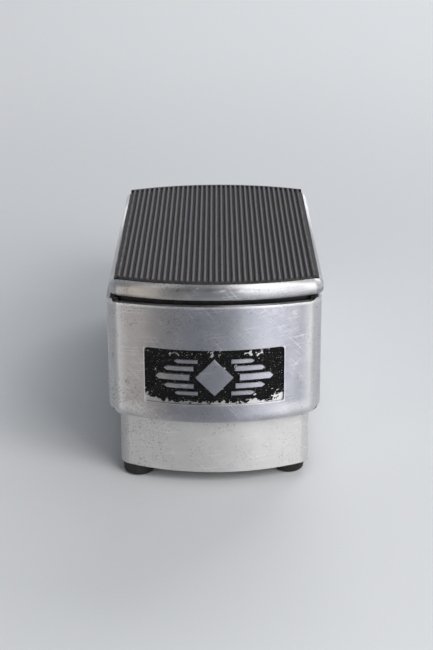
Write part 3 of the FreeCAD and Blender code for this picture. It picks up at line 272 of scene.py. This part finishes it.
# ---- cast aluminium -------------------------------------------------------------------------
class Casting(Finish):
    """Cast and buffed aluminium: bright above the step, matte and oxidised on the plinth."""

    def __init__(self, name):
        super().__init__(name, Anisotropic=0.9, Anisotropic_Rotation=0.25)
        tangent = self.add("ShaderNodeTangent", direction_type="RADIAL", axis="Z")
        self.tree.links.new(tangent.outputs[0], self.shader.inputs["Tangent"])
        self.x, self.y, self.z = self.axes(self.coords())
        self.aside = self.size_of(self.x)
        self.film = self.noise(7.0, 5.0, 0.65)
        self.grain = self.noise(0.7, 3.0, 0.6)
        self.plinth = self.below(self.z, STEP_LOW, STEP_HIGH)
        self.over_rim = self.plus(
            self.times(self.z, math.cos(SLOPE)), self.times(self.y, math.sin(SLOPE)),
            -TREADLE_TOP * math.cos(SLOPE) - TOE_Y * math.sin(SLOPE))
        from_bow = self.math("POWER", self.minus(self.y, BOW_Y), 2.0)
        self.across = self.math("SQRT", self.plus(self.times(self.x, self.x), from_bow))

    def add_wear(self):
        """Sets the masks of the dark marks, pale marks, haze and stain, and the relief."""
        patch = self.step(self.shifted_noise((9, 40, 13), 15.0, 4.0, 0.6), 0.42, 0.60)
        leftward = self.step(self.x, 25.0, -45.0)
        specks = self.times(self.step(self.noise(0.9, 2.0, 0.65), 0.55, 0.66), patch,
                            self.step(leftward, 0.0, 1.0, 0.45, 1.0))
        hairs = self.times(self.line(self.shifted_noise((3, 12, 44), 16.0, 3.0, 0.6), 0.0022),
                           self.step(self.shifted_noise((8, 2, 17), 6.0), 0.56, 0.66), self.plinth)
        pits = self.plus(self.spots(1.9, 0.30, 0.16), self.spots(8.0, 0.55, 0.16))
        fine = self.plus(self.scratches(7.0, 0.17, 0.55, 0.63, 0.75),
                         self.scratches(15.0, 0.20, -0.85, 0.61, 0.73, shift=(4, 1, 2)),
                         self.scratches(24.0, 0.28, 0.10, 0.61, 0.74, shift=(1, 5, 9)))
        fine = self.times(fine, self.step(self.shifted_noise((31, 7, 3), 9.0), 0.42, 0.66))
        arcs = self.times(self.line(self.noise(45.0, 0.0, 0.4), 0.0014), self.step(self.film, 0.48, 0.60))
        cloudy = self.noise(5.0, 5.0, 0.75, coords=self.coords(stretch=(1.6, 1, 1)))
        self.haze = self.times(self.step(cloudy, 0.5, 0.8), patch)
        self.stain = self.step(self.shifted_noise((19, 4, 23), 13.0, 5.0, 0.7), 0.58, 0.78)
        self.dark_marks = self.plus(specks, pits, hairs)
        self.pale_marks = self.plus(arcs, fine)
        self.relief = self.minus(self.times(self.grain, 0.25), self.plus(pits, self.times(fine, 0.25)))

    def buffed(self, dark, light):
        """Mottled, warmer on the left; paler at the corners and low sides as painted reflections, and at
        the wall's top edge as a painted highlight.
        """
        mottle = self.step(self.film, 0.3, 0.7)
        warmth = (1.12, 1.04, 0.90)
        warm_dark = [w * c for w, c in zip(warmth, dark)]
        warm_light = [w * c for w, c in zip(warmth, light)]
        color = self.mix(self.step(self.x, -4.0, -36.0), self.mix(mottle, dark, light),
                         self.mix(mottle, warm_dark, warm_light))
        # The paler corners and low sides are painted reflections; the pale wall top edge is a painted
        # highlight.
        corners = self.step(self.aside, 40.5, 47.5)
        low_side_reflection = self.times(self.step(self.aside, 22.0, 36.0), self.below(self.z, 41.0, 46.0))
        wall_edge_highlight = self.times(self.step(self.over_rim, WALL_TOP - 1.5, WALL_TOP - 0.5),
                               self.below(self.over_rim, WALL_TOP + 0.4, WALL_TOP + 0.6))
        color = self.lay(color, (0.74, 0.74, 0.745), corners, 0.75)
        color = self.lay(color, (0.70, 0.70, 0.705), low_side_reflection, 0.5)
        return self.lay(color, (0.85, 0.85, 0.86), wall_edge_highlight, 0.6)

    def with_toe_rim_light_and_shade(self, color):
        """The treadle's toe: a pale upper edge as a painted highlight, and a darker lower part on the right
        as painted shade.
        """
        toe = self.below(self.y, -96.0, -90.0)
        # Painted highlight: a pale band along the rim's upper edge.
        edge = self.times(toe, self.step(self.over_rim, -3.0, -1.2))
        # Painted shade: the rim's lower part darkened on the right.
        under = self.times(toe, self.below(self.over_rim, -6.0, -4.2), self.step(self.x, -5.0, 20.0))
        color = self.lay(color, (0.88, 0.88, 0.88), edge, 0.8)
        return self.lay(color, (0.24, 0.245, 0.27), under, 0.7)

    def with_wear(self, color):
        color = self.lay(color, (0.75, 0.75, 0.75), self.haze, 0.35)
        color = self.lay(color, (0.20, 0.19, 0.17), self.stain, 0.35)
        color = self.lay(color, (0.10, 0.095, 0.09), self.dark_marks, 0.6)
        return self.lay(color, (0.92, 0.92, 0.92), self.pale_marks, 0.45)

    def badge_recess(self):
        """Mask of the badge's recess."""
        window = self.times(self.below(self.across, TOE_RADIUS - 1.0, TOE_RADIUS - 0.6),
                            self.within(self.z, BADGE_MIDDLE, BADGE_REACH))
        return self.times(window, self.within(self.x, 0.0, BADGE_HALF))

    def badge_edge_highlight(self):
        """Mask of the painted highlight border on the wall's face, at the badge's sides and foot."""
        half = BADGE_BORDER / 2
        outside = self.times(self.within(self.z, BADGE_MIDDLE - half, BADGE_REACH + half),
                             self.within(self.x, 0.0, BADGE_HALF + BADGE_BORDER),
                             self.step(self.across, TOE_RADIUS - 0.6, TOE_RADIUS - 0.3))
        inside = self.times(self.within(self.z, BADGE_MIDDLE, BADGE_REACH - 0.1),
                            self.within(self.x, 0.0, BADGE_HALF - 0.1))
        return self.minus(outside, self.times(outside, inside))

    def inner_faces_painted_shade(self):
        """Mask of the toe wall's inner faces, painted dark as shade; at the slot's ends it reaches further
        out.
        """
        slot_end = self.step(self.aside, 46.2, 47.2, 0.0, 2.3)
        behind = self.below(self.minus(self.across, slot_end), TOE_RADIUS - 3.9, TOE_RADIUS - 3.2)
        return self.times(behind, self.within(self.x, 0.0, INNER_HALF), self.step(self.z, 36.0, 37.0))


def casting(name, dark, light, roughness):
    """The housing's casting, or the treadle's where the name is polished_aluminium."""
    f = Casting(name)
    f.add_wear()
    bright = f.buffed(dark, light)
    if name == "polished_aluminium":
        bright = f.with_toe_rim_light_and_shade(bright)
    dull = f.mix(f.noise(30.0, 4.0, 0.55), (0.54, 0.54, 0.54), (0.64, 0.64, 0.64))
    color = f.with_wear(f.mix(f.plinth, bright, dull))
    recess = f.badge_recess()
    color = f.lay(color, (0.80, 0.80, 0.79), recess, 0.8)
    # Painted highlight: a pale border at the badge's sides and foot.
    color = f.lay(color, (0.90, 0.90, 0.90), f.badge_edge_highlight(), 0.45)
    rough = f.plus(f.step(f.film, 0.3, 0.75, roughness, roughness + 0.12), f.times(f.plinth, 0.20),
                   f.times(recess, 0.25), f.times(f.minus(f.grain, 0.5), 0.12), f.times(f.haze, 0.15))
    metallic = f.step(f.plinth, 0.0, 1.0, 1.0, 0.4)
    if name == "cast_aluminium":
        # Painted shade: the toe wall's inner faces and the slot's ends are coloured near black.
        inner = f.inner_faces_painted_shade()
        color = f.mix(inner, color, f.mix(f.film, (0.020, 0.018, 0.017), (0.055, 0.050, 0.046)))
        rough = f.math("MAXIMUM", rough, f.times(inner, 0.8))
        metallic = f.minus(metallic, f.times(inner, 0.9))
    f.paint(color, rough)
    f.tree.links.new(metallic, f.shader.inputs["Metallic"])
    f.bump(f.relief, 0.05, edge=0.35)
    return f.material


# ---- other finishes -------------------------------------------------------------------------
def plain_metal(name, base, dark, roughness):
    """Machined or plated metal with tarnish, fine scratches and grain."""
    f = Finish(name, Metallic=1.0)
    tarnish = f.noise(4.0, 5.0, 0.6)
    grain = f.noise(0.4, 2.0)
    lines = f.times(f.line(f.noise(6.4, 1.0, distortion=0.8), 0.01), 0.5)
    color = f.mix(f.step(tarnish, 0.4, 0.75), base, dark)
    color = f.mix(lines, color, [min(1.0, 1.3 * c) for c in base])
    rough = f.plus(f.step(tarnish, 0.3, 0.8, roughness, roughness + 0.18), f.times(grain, 0.08))
    f.paint(color, rough)
    f.bump(f.plus(grain, lines), 0.02, edge=0.15)
    return f.material


def rubber(name, base, dust, marks_and_shade=None):
    """Black rubber with dust, scuffs and moulding grain; the last argument adds a piece's own marks, and
    for the mat also painted shade.
    """
    f = Finish(name, Specular_IOR_Level=0.35)
    grain = f.noise(0.35, 3.0, 0.6)
    patches = f.noise(7.0, 5.0, 0.65)
    color = f.mix(f.step(patches, 0.35, 0.8), base, dust)
    if marks_and_shade:
        color = marks_and_shade(f, color)
    f.paint(color, f.step(grain, 0.2, 0.8, 0.48, 0.72))
    f.bump(f.plus(grain, f.times(patches, 0.6)), 0.05, edge=0.2)
    return f.material


def tread_wear_and_side_shade(f, color):
    """Rib tops rubbed pale, grime in the grooves, grime and painted gap shade along the side edges, a few
    pale crumbs.
    """
    local = f.add("ShaderNodeMapping", {
        "Vector": f.place, "Rotation": (SLOPE, 0, 0),
        "Location": (-TREADLE_SHIFT * MM, 0, 0)}).outputs[0]
    local_x, _, local_z = f.axes(local)
    origin = Matrix.Rotation(SLOPE, 3, "X") @ from_treadle(-TREADLE_SHIFT, 0, 0)
    h = f.math("DIVIDE", f.minus(local_z, origin.z), MM)
    x = f.math("DIVIDE", local_x, MM)
    top = f.step(h, MAT_TOP - 0.75, MAT_TOP - 0.12)
    streaks = f.noise(0.5, 3.0, 0.6, coords=f.coords(stretch=(1, 22, 5)))
    worn = f.times(top, f.step(streaks, 0.25, 0.75, 0.6, 1.0))
    side = f.step(f.plus(f.size_of(x), f.times(f.noise(5.0), 4.0)), 47.2, 49.4)
    color = f.mix(worn, color, (0.150, 0.142, 0.155))
    color = f.lay(color, (0.016, 0.014, 0.013), f.step(streaks, 0.45, 0.7), 0.45)
    # Grime and painted shade: a near-black strip along both sides stands in for the gap beside the rim.
    color = f.lay(color, (0.011, 0.006, 0.003), side, 0.95)
    color = f.lay(color, (0.19, 0.07, 0.03), f.spots(2.4, 0.34, 0.16), 0.85)
    return f.lay(color, (0.42, 0.38, 0.30), f.spots(11.0, 0.35, 0.10), 0.8)


def enamel_finish(name):
    """Gloss black with dust, dulled patches and rust-brown tints."""
    f = Finish(name, Specular_IOR_Level=0.15)
    film = f.noise(5.0, 5.0, 0.65)
    color = f.mix(f.step(film, 0.5, 0.8), (0.003, 0.003, 0.0035), (0.012, 0.009, 0.008))
    color = f.lay(color, (0.35, 0.33, 0.30), f.spots(1.1, 0.18, 0.30), 0.5)
    f.paint(color, f.step(film, 0.3, 0.8, 0.22, 0.5))
    f.bump(film, 0.05)
    return f.material


def painted(name, base, fade, roughness):
    """Stove paint, felt, plastic and board: two tones, specks, grain and a fine bump."""
    f = Finish(name)
    patches = f.noise(5.0, 5.0, 0.65)
    grain = f.noise(0.45, 3.0, 0.6)
    color = f.mix(f.step(patches, 0.35, 0.75), base, fade)
    color = f.lay(color, [min(1, 4 * c + 0.05) for c in fade], f.spots(3.2, 0.22, 0.18), 0.5)
    f.paint(color, f.step(grain, 0.2, 0.8, roughness - 0.08, roughness + 0.1))
    f.bump(grain, 0.05, edge=0.12)
    return f.material


def backdrop_finish():
    """Pale paper, coloured lighter further from the pedal as painted light, so it is darker close round the
    pedal.
    """
    f = Finish("backdrop", Specular_IOR_Level=0.15)
    cloud = f.noise(420.0, 2.0)
    fibre = f.noise(1.5, 4.0)
    distance_for_painted_light = f.add("ShaderNodeVectorMath", {0: f.coords()}, operation="LENGTH").outputs["Value"]
    color = f.mix(cloud, (0.655, 0.675, 0.70), (0.69, 0.705, 0.725))
    # Painted light: the floor is made lighter from about 230 mm out, darker close round the pedal.
    color = f.mix(f.step(distance_for_painted_light, 230.0, 620.0), color, (0.765, 0.78, 0.80))
    f.paint(color, f.step(fibre, 0.2, 0.8, 0.72, 0.86))
    f.bump(fibre, 0.03)
    return f.material


# Each slot's recipe and its own colours and roughness.
RECIPES = {
    "cast_aluminium": (casting, (0.358, 0.364, 0.415), (0.424, 0.430, 0.480), 0.38),
    "polished_aluminium": (casting, (0.43, 0.434, 0.465), (0.52, 0.522, 0.55), 0.42),
    "black_enamel": (enamel_finish,),
    "mat_rubber": (rubber, (0.027, 0.025, 0.026), (0.044, 0.039, 0.039), tread_wear_and_side_shade),
    "foot_rubber": (rubber, (0.012, 0.011, 0.011), (0.022, 0.020, 0.019)),
    "blackened_steel": (painted, (0.016, 0.015, 0.015), (0.035, 0.033, 0.032), 0.5),
    "zinc_steel": (plain_metal, (0.50, 0.50, 0.48), (0.30, 0.29, 0.27), 0.38),
    "ground_steel": (plain_metal, (0.48, 0.48, 0.48), (0.30, 0.29, 0.28), 0.25),
    "bearing_bronze": (plain_metal, (0.58, 0.38, 0.19), (0.30, 0.18, 0.09), 0.32),
    "gear_brass": (plain_metal, (0.70, 0.51, 0.22), (0.40, 0.27, 0.12), 0.30),
    "nickel_plate": (plain_metal, (0.66, 0.63, 0.57), (0.42, 0.39, 0.34), 0.20),
    "phenolic_board": (painted, (0.16, 0.07, 0.03), (0.22, 0.10, 0.045), 0.45),
    "felt": (painted, (0.018, 0.018, 0.018), (0.035, 0.034, 0.033), 0.9),
    "wire_red": (painted, (0.30, 0.02, 0.015), (0.36, 0.04, 0.03), 0.42),
    "wire_white": (painted, (0.50, 0.46, 0.35), (0.58, 0.54, 0.44), 0.42),
    "wire_black": (painted, (0.012, 0.012, 0.012), (0.022, 0.022, 0.022), 0.4),
}
FINISHES = {name: recipe(name, *values) for name, (recipe, *values) in RECIPES.items()}

for node in frame["nodes"].values():
    for slot in node.material_slots:
        slot.material = FINISHES[slot.material.name.split(".")[0]]


# ---- new pieces -----------------------------------------------------------------------------
def mesh_piece(name, points, faces, material_slot, body):
    mesh = bpy.data.meshes.new(name)
    mesh.from_pydata([tuple(p) for p in points], [], faces)
    mesh.validate()
    mesh.materials.append(FINISHES[material_slot])
    piece = bpy.data.objects.new(name, mesh)
    bpy.context.scene.collection.objects.link(piece)
    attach(piece, body)
    return piece


def grid_faces(rows, columns):
    """Quads of a grid of points that is stored row by row."""
    width = columns + 1
    corners = (0, 1, width + 1, width)
    return [tuple(r * width + c + corner for corner in corners)
            for r in range(rows) for c in range(columns)]


def grid_outline(rows, columns):
    """Indices round such a grid: first row, far side, last row and near side."""
    width = columns + 1
    far_side = [r * width + columns for r in range(1, rows + 1)]
    last_row = [rows * width + c for c in range(columns - 1, -1, -1)]
    near_side = [r * width for r in range(rows - 1, 0, -1)]
    return list(range(width)) + far_side + last_row + near_side


def mat_section():
    """Across the mat, as (x, h): a low strip at each side, and the ribs between them."""
    ribbed = MAT_HALF - SIDE_STRIP
    pitch = 2 * ribbed / RIBS
    foot = (pitch - GROOVE_FLOOR) / 2
    crest = RIB_CREST / 2
    section = [(-MAT_HALF, MAT_LOW)]
    for k in range(RIBS):
        middle = (k + 0.5) * pitch - ribbed
        section += [(middle - foot, MAT_LOW), (middle - crest, MAT_TOP - CREST_DROP),
                    (middle - crest + CREST_CORNER, MAT_TOP), (middle + crest - CREST_CORNER, MAT_TOP),
                    (middle + crest, MAT_TOP - CREST_DROP), (middle + foot, MAT_LOW)]
    return section + [(MAT_HALF, MAT_LOW)]


def mat_point(x, s, h):
    """A point of the mat's top; the ribs waver a little sideways and in height."""
    wobble = 0.10 * noise.noise(Vector((x * 0.25, s * 0.035, 3.1)))
    lift = 0.5 * wobble if h > MAT_LOW else 0
    return from_treadle(x + wobble, s, h + lift)


def mat_top_points(section):
    """Rows along the ribs, from the toe's bow, and two for the plain strip at the heel's."""
    points = []
    for r in range(RIB_ROWS + 3):
        for x, h in section:
            toe = MAT_INSET + MAT_TOE_RADIUS - math.sqrt(MAT_TOE_RADIUS ** 2 - x * x)
            heel = MAT_END - MAT_HEEL_RADIUS + math.sqrt(MAT_HEEL_RADIUS ** 2 - x * x)
            end = heel - END_STRIP
            if r <= RIB_ROWS:
                points.append(mat_point(x, toe + (end - toe) * r / RIB_ROWS, h))
            else:
                s = end + END_RAMP if r == RIB_ROWS + 1 else heel
                points.append(mat_point(x, s, MAT_TOP - END_DROP))
    return points


def tread_mat():
    """Ribbed mat with V grooves along it and two bowed ends, closed by walls and an underside."""
    section = mat_section()
    points = mat_top_points(section)
    rows, columns = RIB_ROWS + 2, len(section) - 1
    faces = grid_faces(rows, columns)
    outline = grid_outline(rows, columns)
    up = Vector((0, math.sin(SLOPE), math.cos(SLOPE)))
    underside = from_treadle(0, 0, MAT_BOTTOM)
    first = len(points)
    count = len(outline)
    for index in outline:
        points.append(points[index] - up * (points[index] - underside).dot(up))
    for k in range(count):
        n = (k + 1) % count
        faces.append((outline[n], outline[k], first + k, first + n))
    faces.append(tuple(range(first, first + count)))
    piece = mesh_piece("tread_mat_ribbed", points, faces, "mat_rubber", "treadle")
    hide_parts("tread_mat")


tread_mat()


def patchy(place, per_mm, shift):
    return noise.noise(place * per_mm + Vector(shift))


def enamel_cover(x, z):
    """Above 0 where the enamel holds, below 0 where it has chipped off."""
    place = Vector((x, z, 0.0))
    wide = patchy(place, 0.13, (3.0, 1.0, 0.0))
    middling = patchy(place, 0.55, (0.0, 9.0, 4.0))
    fine = patchy(place, 1.3, (7.0, 0.0, 2.0))
    crumbs = patchy(place, 2.2, (1.0, 5.0, 8.0))
    side = BADGE_HALF - abs(x)
    over_foot = z - BADGE_LOW
    foot = 1.1 * max(0.0, 1.0 - over_foot / 3.2)
    corner = max(0.0, 1.0 - math.hypot(side, over_foot) / 9.0)
    head = 0.6 * max(0.0, 1.0 - abs(BADGE_HIGH - 2.6 - z) / 2.2) if abs(x) < 26 else 0.0
    speck = 1.0 if crumbs > 0.33 - 0.25 * wide - 0.05 * (x < -8) else 0.0
    return 0.72 + 0.9 * wide + 0.85 * middling + 0.6 * fine - foot - corner - head - speck


ENAMEL_STEP = 0.3           # spacing of the enamel's points
CHIP_DEPTH = 0.06           # chipped enamel lies this far under the recess's floor
ENAMEL_RISE = 0.40          # and whole enamel this far over the chipped


def badge_enamel():
    """Enamel in the badge's recess; where it has chipped off, it dips under the metal."""
    columns = round(2 * BADGE_HALF / ENAMEL_STEP)
    rows = round((BADGE_HIGH - BADGE_LOW) / ENAMEL_STEP)
    points = []
    for r in range(rows + 1):
        z = BADGE_LOW + (BADGE_HIGH - BADGE_LOW) * r / rows
        for c in range(columns + 1):
            x = -BADGE_HALF + 2 * BADGE_HALF * c / columns
            cover = max(0.0, min(1.0, enamel_cover(x, z) * 5.0 + 0.5))
            radius = TOE_RADIUS - (BADGE_DEPTH + CHIP_DEPTH - ENAMEL_RISE * cover)
            points.append(Vector((x, BOW_Y - math.sqrt(radius ** 2 - x * x), z)) * MM)
    piece = mesh_piece("badge_enamel_chipped", points, grid_faces(rows, columns), "black_enamel", "housing")
    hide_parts("badge_enamel")


badge_enamel()


# ---- floor and light ------------------------------------------------------------------------
FLOOR_REACH = 3.0           # metres from the middle to each side of the floor
WHITE = (1.0, 1.0, 1.0)
WARM_WHITE = (1.0, 0.985, 0.965)
CARD_WHITE = (1.0, 0.97, 0.94)


def stage():
    """A level floor under the feet."""
    mesh = bpy.data.meshes.new("floor")
    corners = [(-1, -1), (1, -1), (1, 1), (-1, 1)]
    mesh.from_pydata([(FLOOR_REACH * x, FLOOR_REACH * y, 0) for x, y in corners], [], [(0, 1, 2, 3)])
    mesh.materials.append(backdrop_finish())
    floor = bpy.data.objects.new("floor", mesh)
    bpy.context.scene.collection.objects.link(floor)


def area_light(name, position, target, size, power, color):
    """A rectangular light; position, target and size are in metres, power in watts."""
    data = bpy.data.lights.new(name, "AREA")
    data.shape = "RECTANGLE"
    data.size, data.size_y = size
    data.energy = power
    data.color = color
    light = bpy.data.objects.new(name, data)
    light.location = position
    aim = Vector(target) - Vector(position)
    light.rotation_euler = aim.to_track_quat("-Z", "Y").to_euler()
    bpy.context.scene.collection.objects.link(light)


stage()
area_light("key", (0.74, -0.90, 1.0), (0, 0, 0.05), (0.8, 1.1), 11.6, WARM_WHITE)
area_light("side key", (1.05, -0.72, 0.85), (0, 0, 0.05), (0.7, 0.8), 3.9, WARM_WHITE)
area_light("back", (0.5, 1.5, 1.2), (0, 0.4, 0), (1.4, 0.8), 15.6, WHITE)
area_light("right card", (1.3, 0.1, 0.7), (0, 0, 0.05), (0.7, 0.7), 2.2, WHITE)
area_light("low card", (0.42, -0.98, 0.14), (0, -0.1, 0.1), (0.36, 0.22), 1.8, WHITE)
area_light("left card", (-0.85, -0.95, 0.38), (0, 0, 0.08), (0.4, 0.6), 2.1, CARD_WHITE)


def room():
    """Even ambient light, darker from the toe's side."""
    world = bpy.data.worlds.new("room")
    world.use_nodes = True
    tree = world.node_tree
    direction = tree.nodes.new("ShaderNodeTexCoord")
    parts = tree.nodes.new("ShaderNodeSeparateXYZ")
    tree.links.new(direction.outputs["Generated"], parts.inputs[0])
    depth = tree.nodes.new("ShaderNodeMapRange")
    depth.interpolation_type = "SMOOTHSTEP"
    limits = {"From Min": -0.7, "From Max": 0.3, "To Min": 0.06, "To Max": 0.48}
    for socket, value in limits.items():
        depth.inputs[socket].default_value = value
    tree.links.new(parts.outputs["Y"], depth.inputs["Value"])
    background = tree.nodes["Background"]
    background.inputs["Color"].default_value = (0.64, 0.67, 0.72, 1)
    tree.links.new(depth.outputs[0], background.inputs["Strength"])
    return world


bpy.context.scene.world = room()
bpy.context.scene.view_settings.view_transform = "Standard"
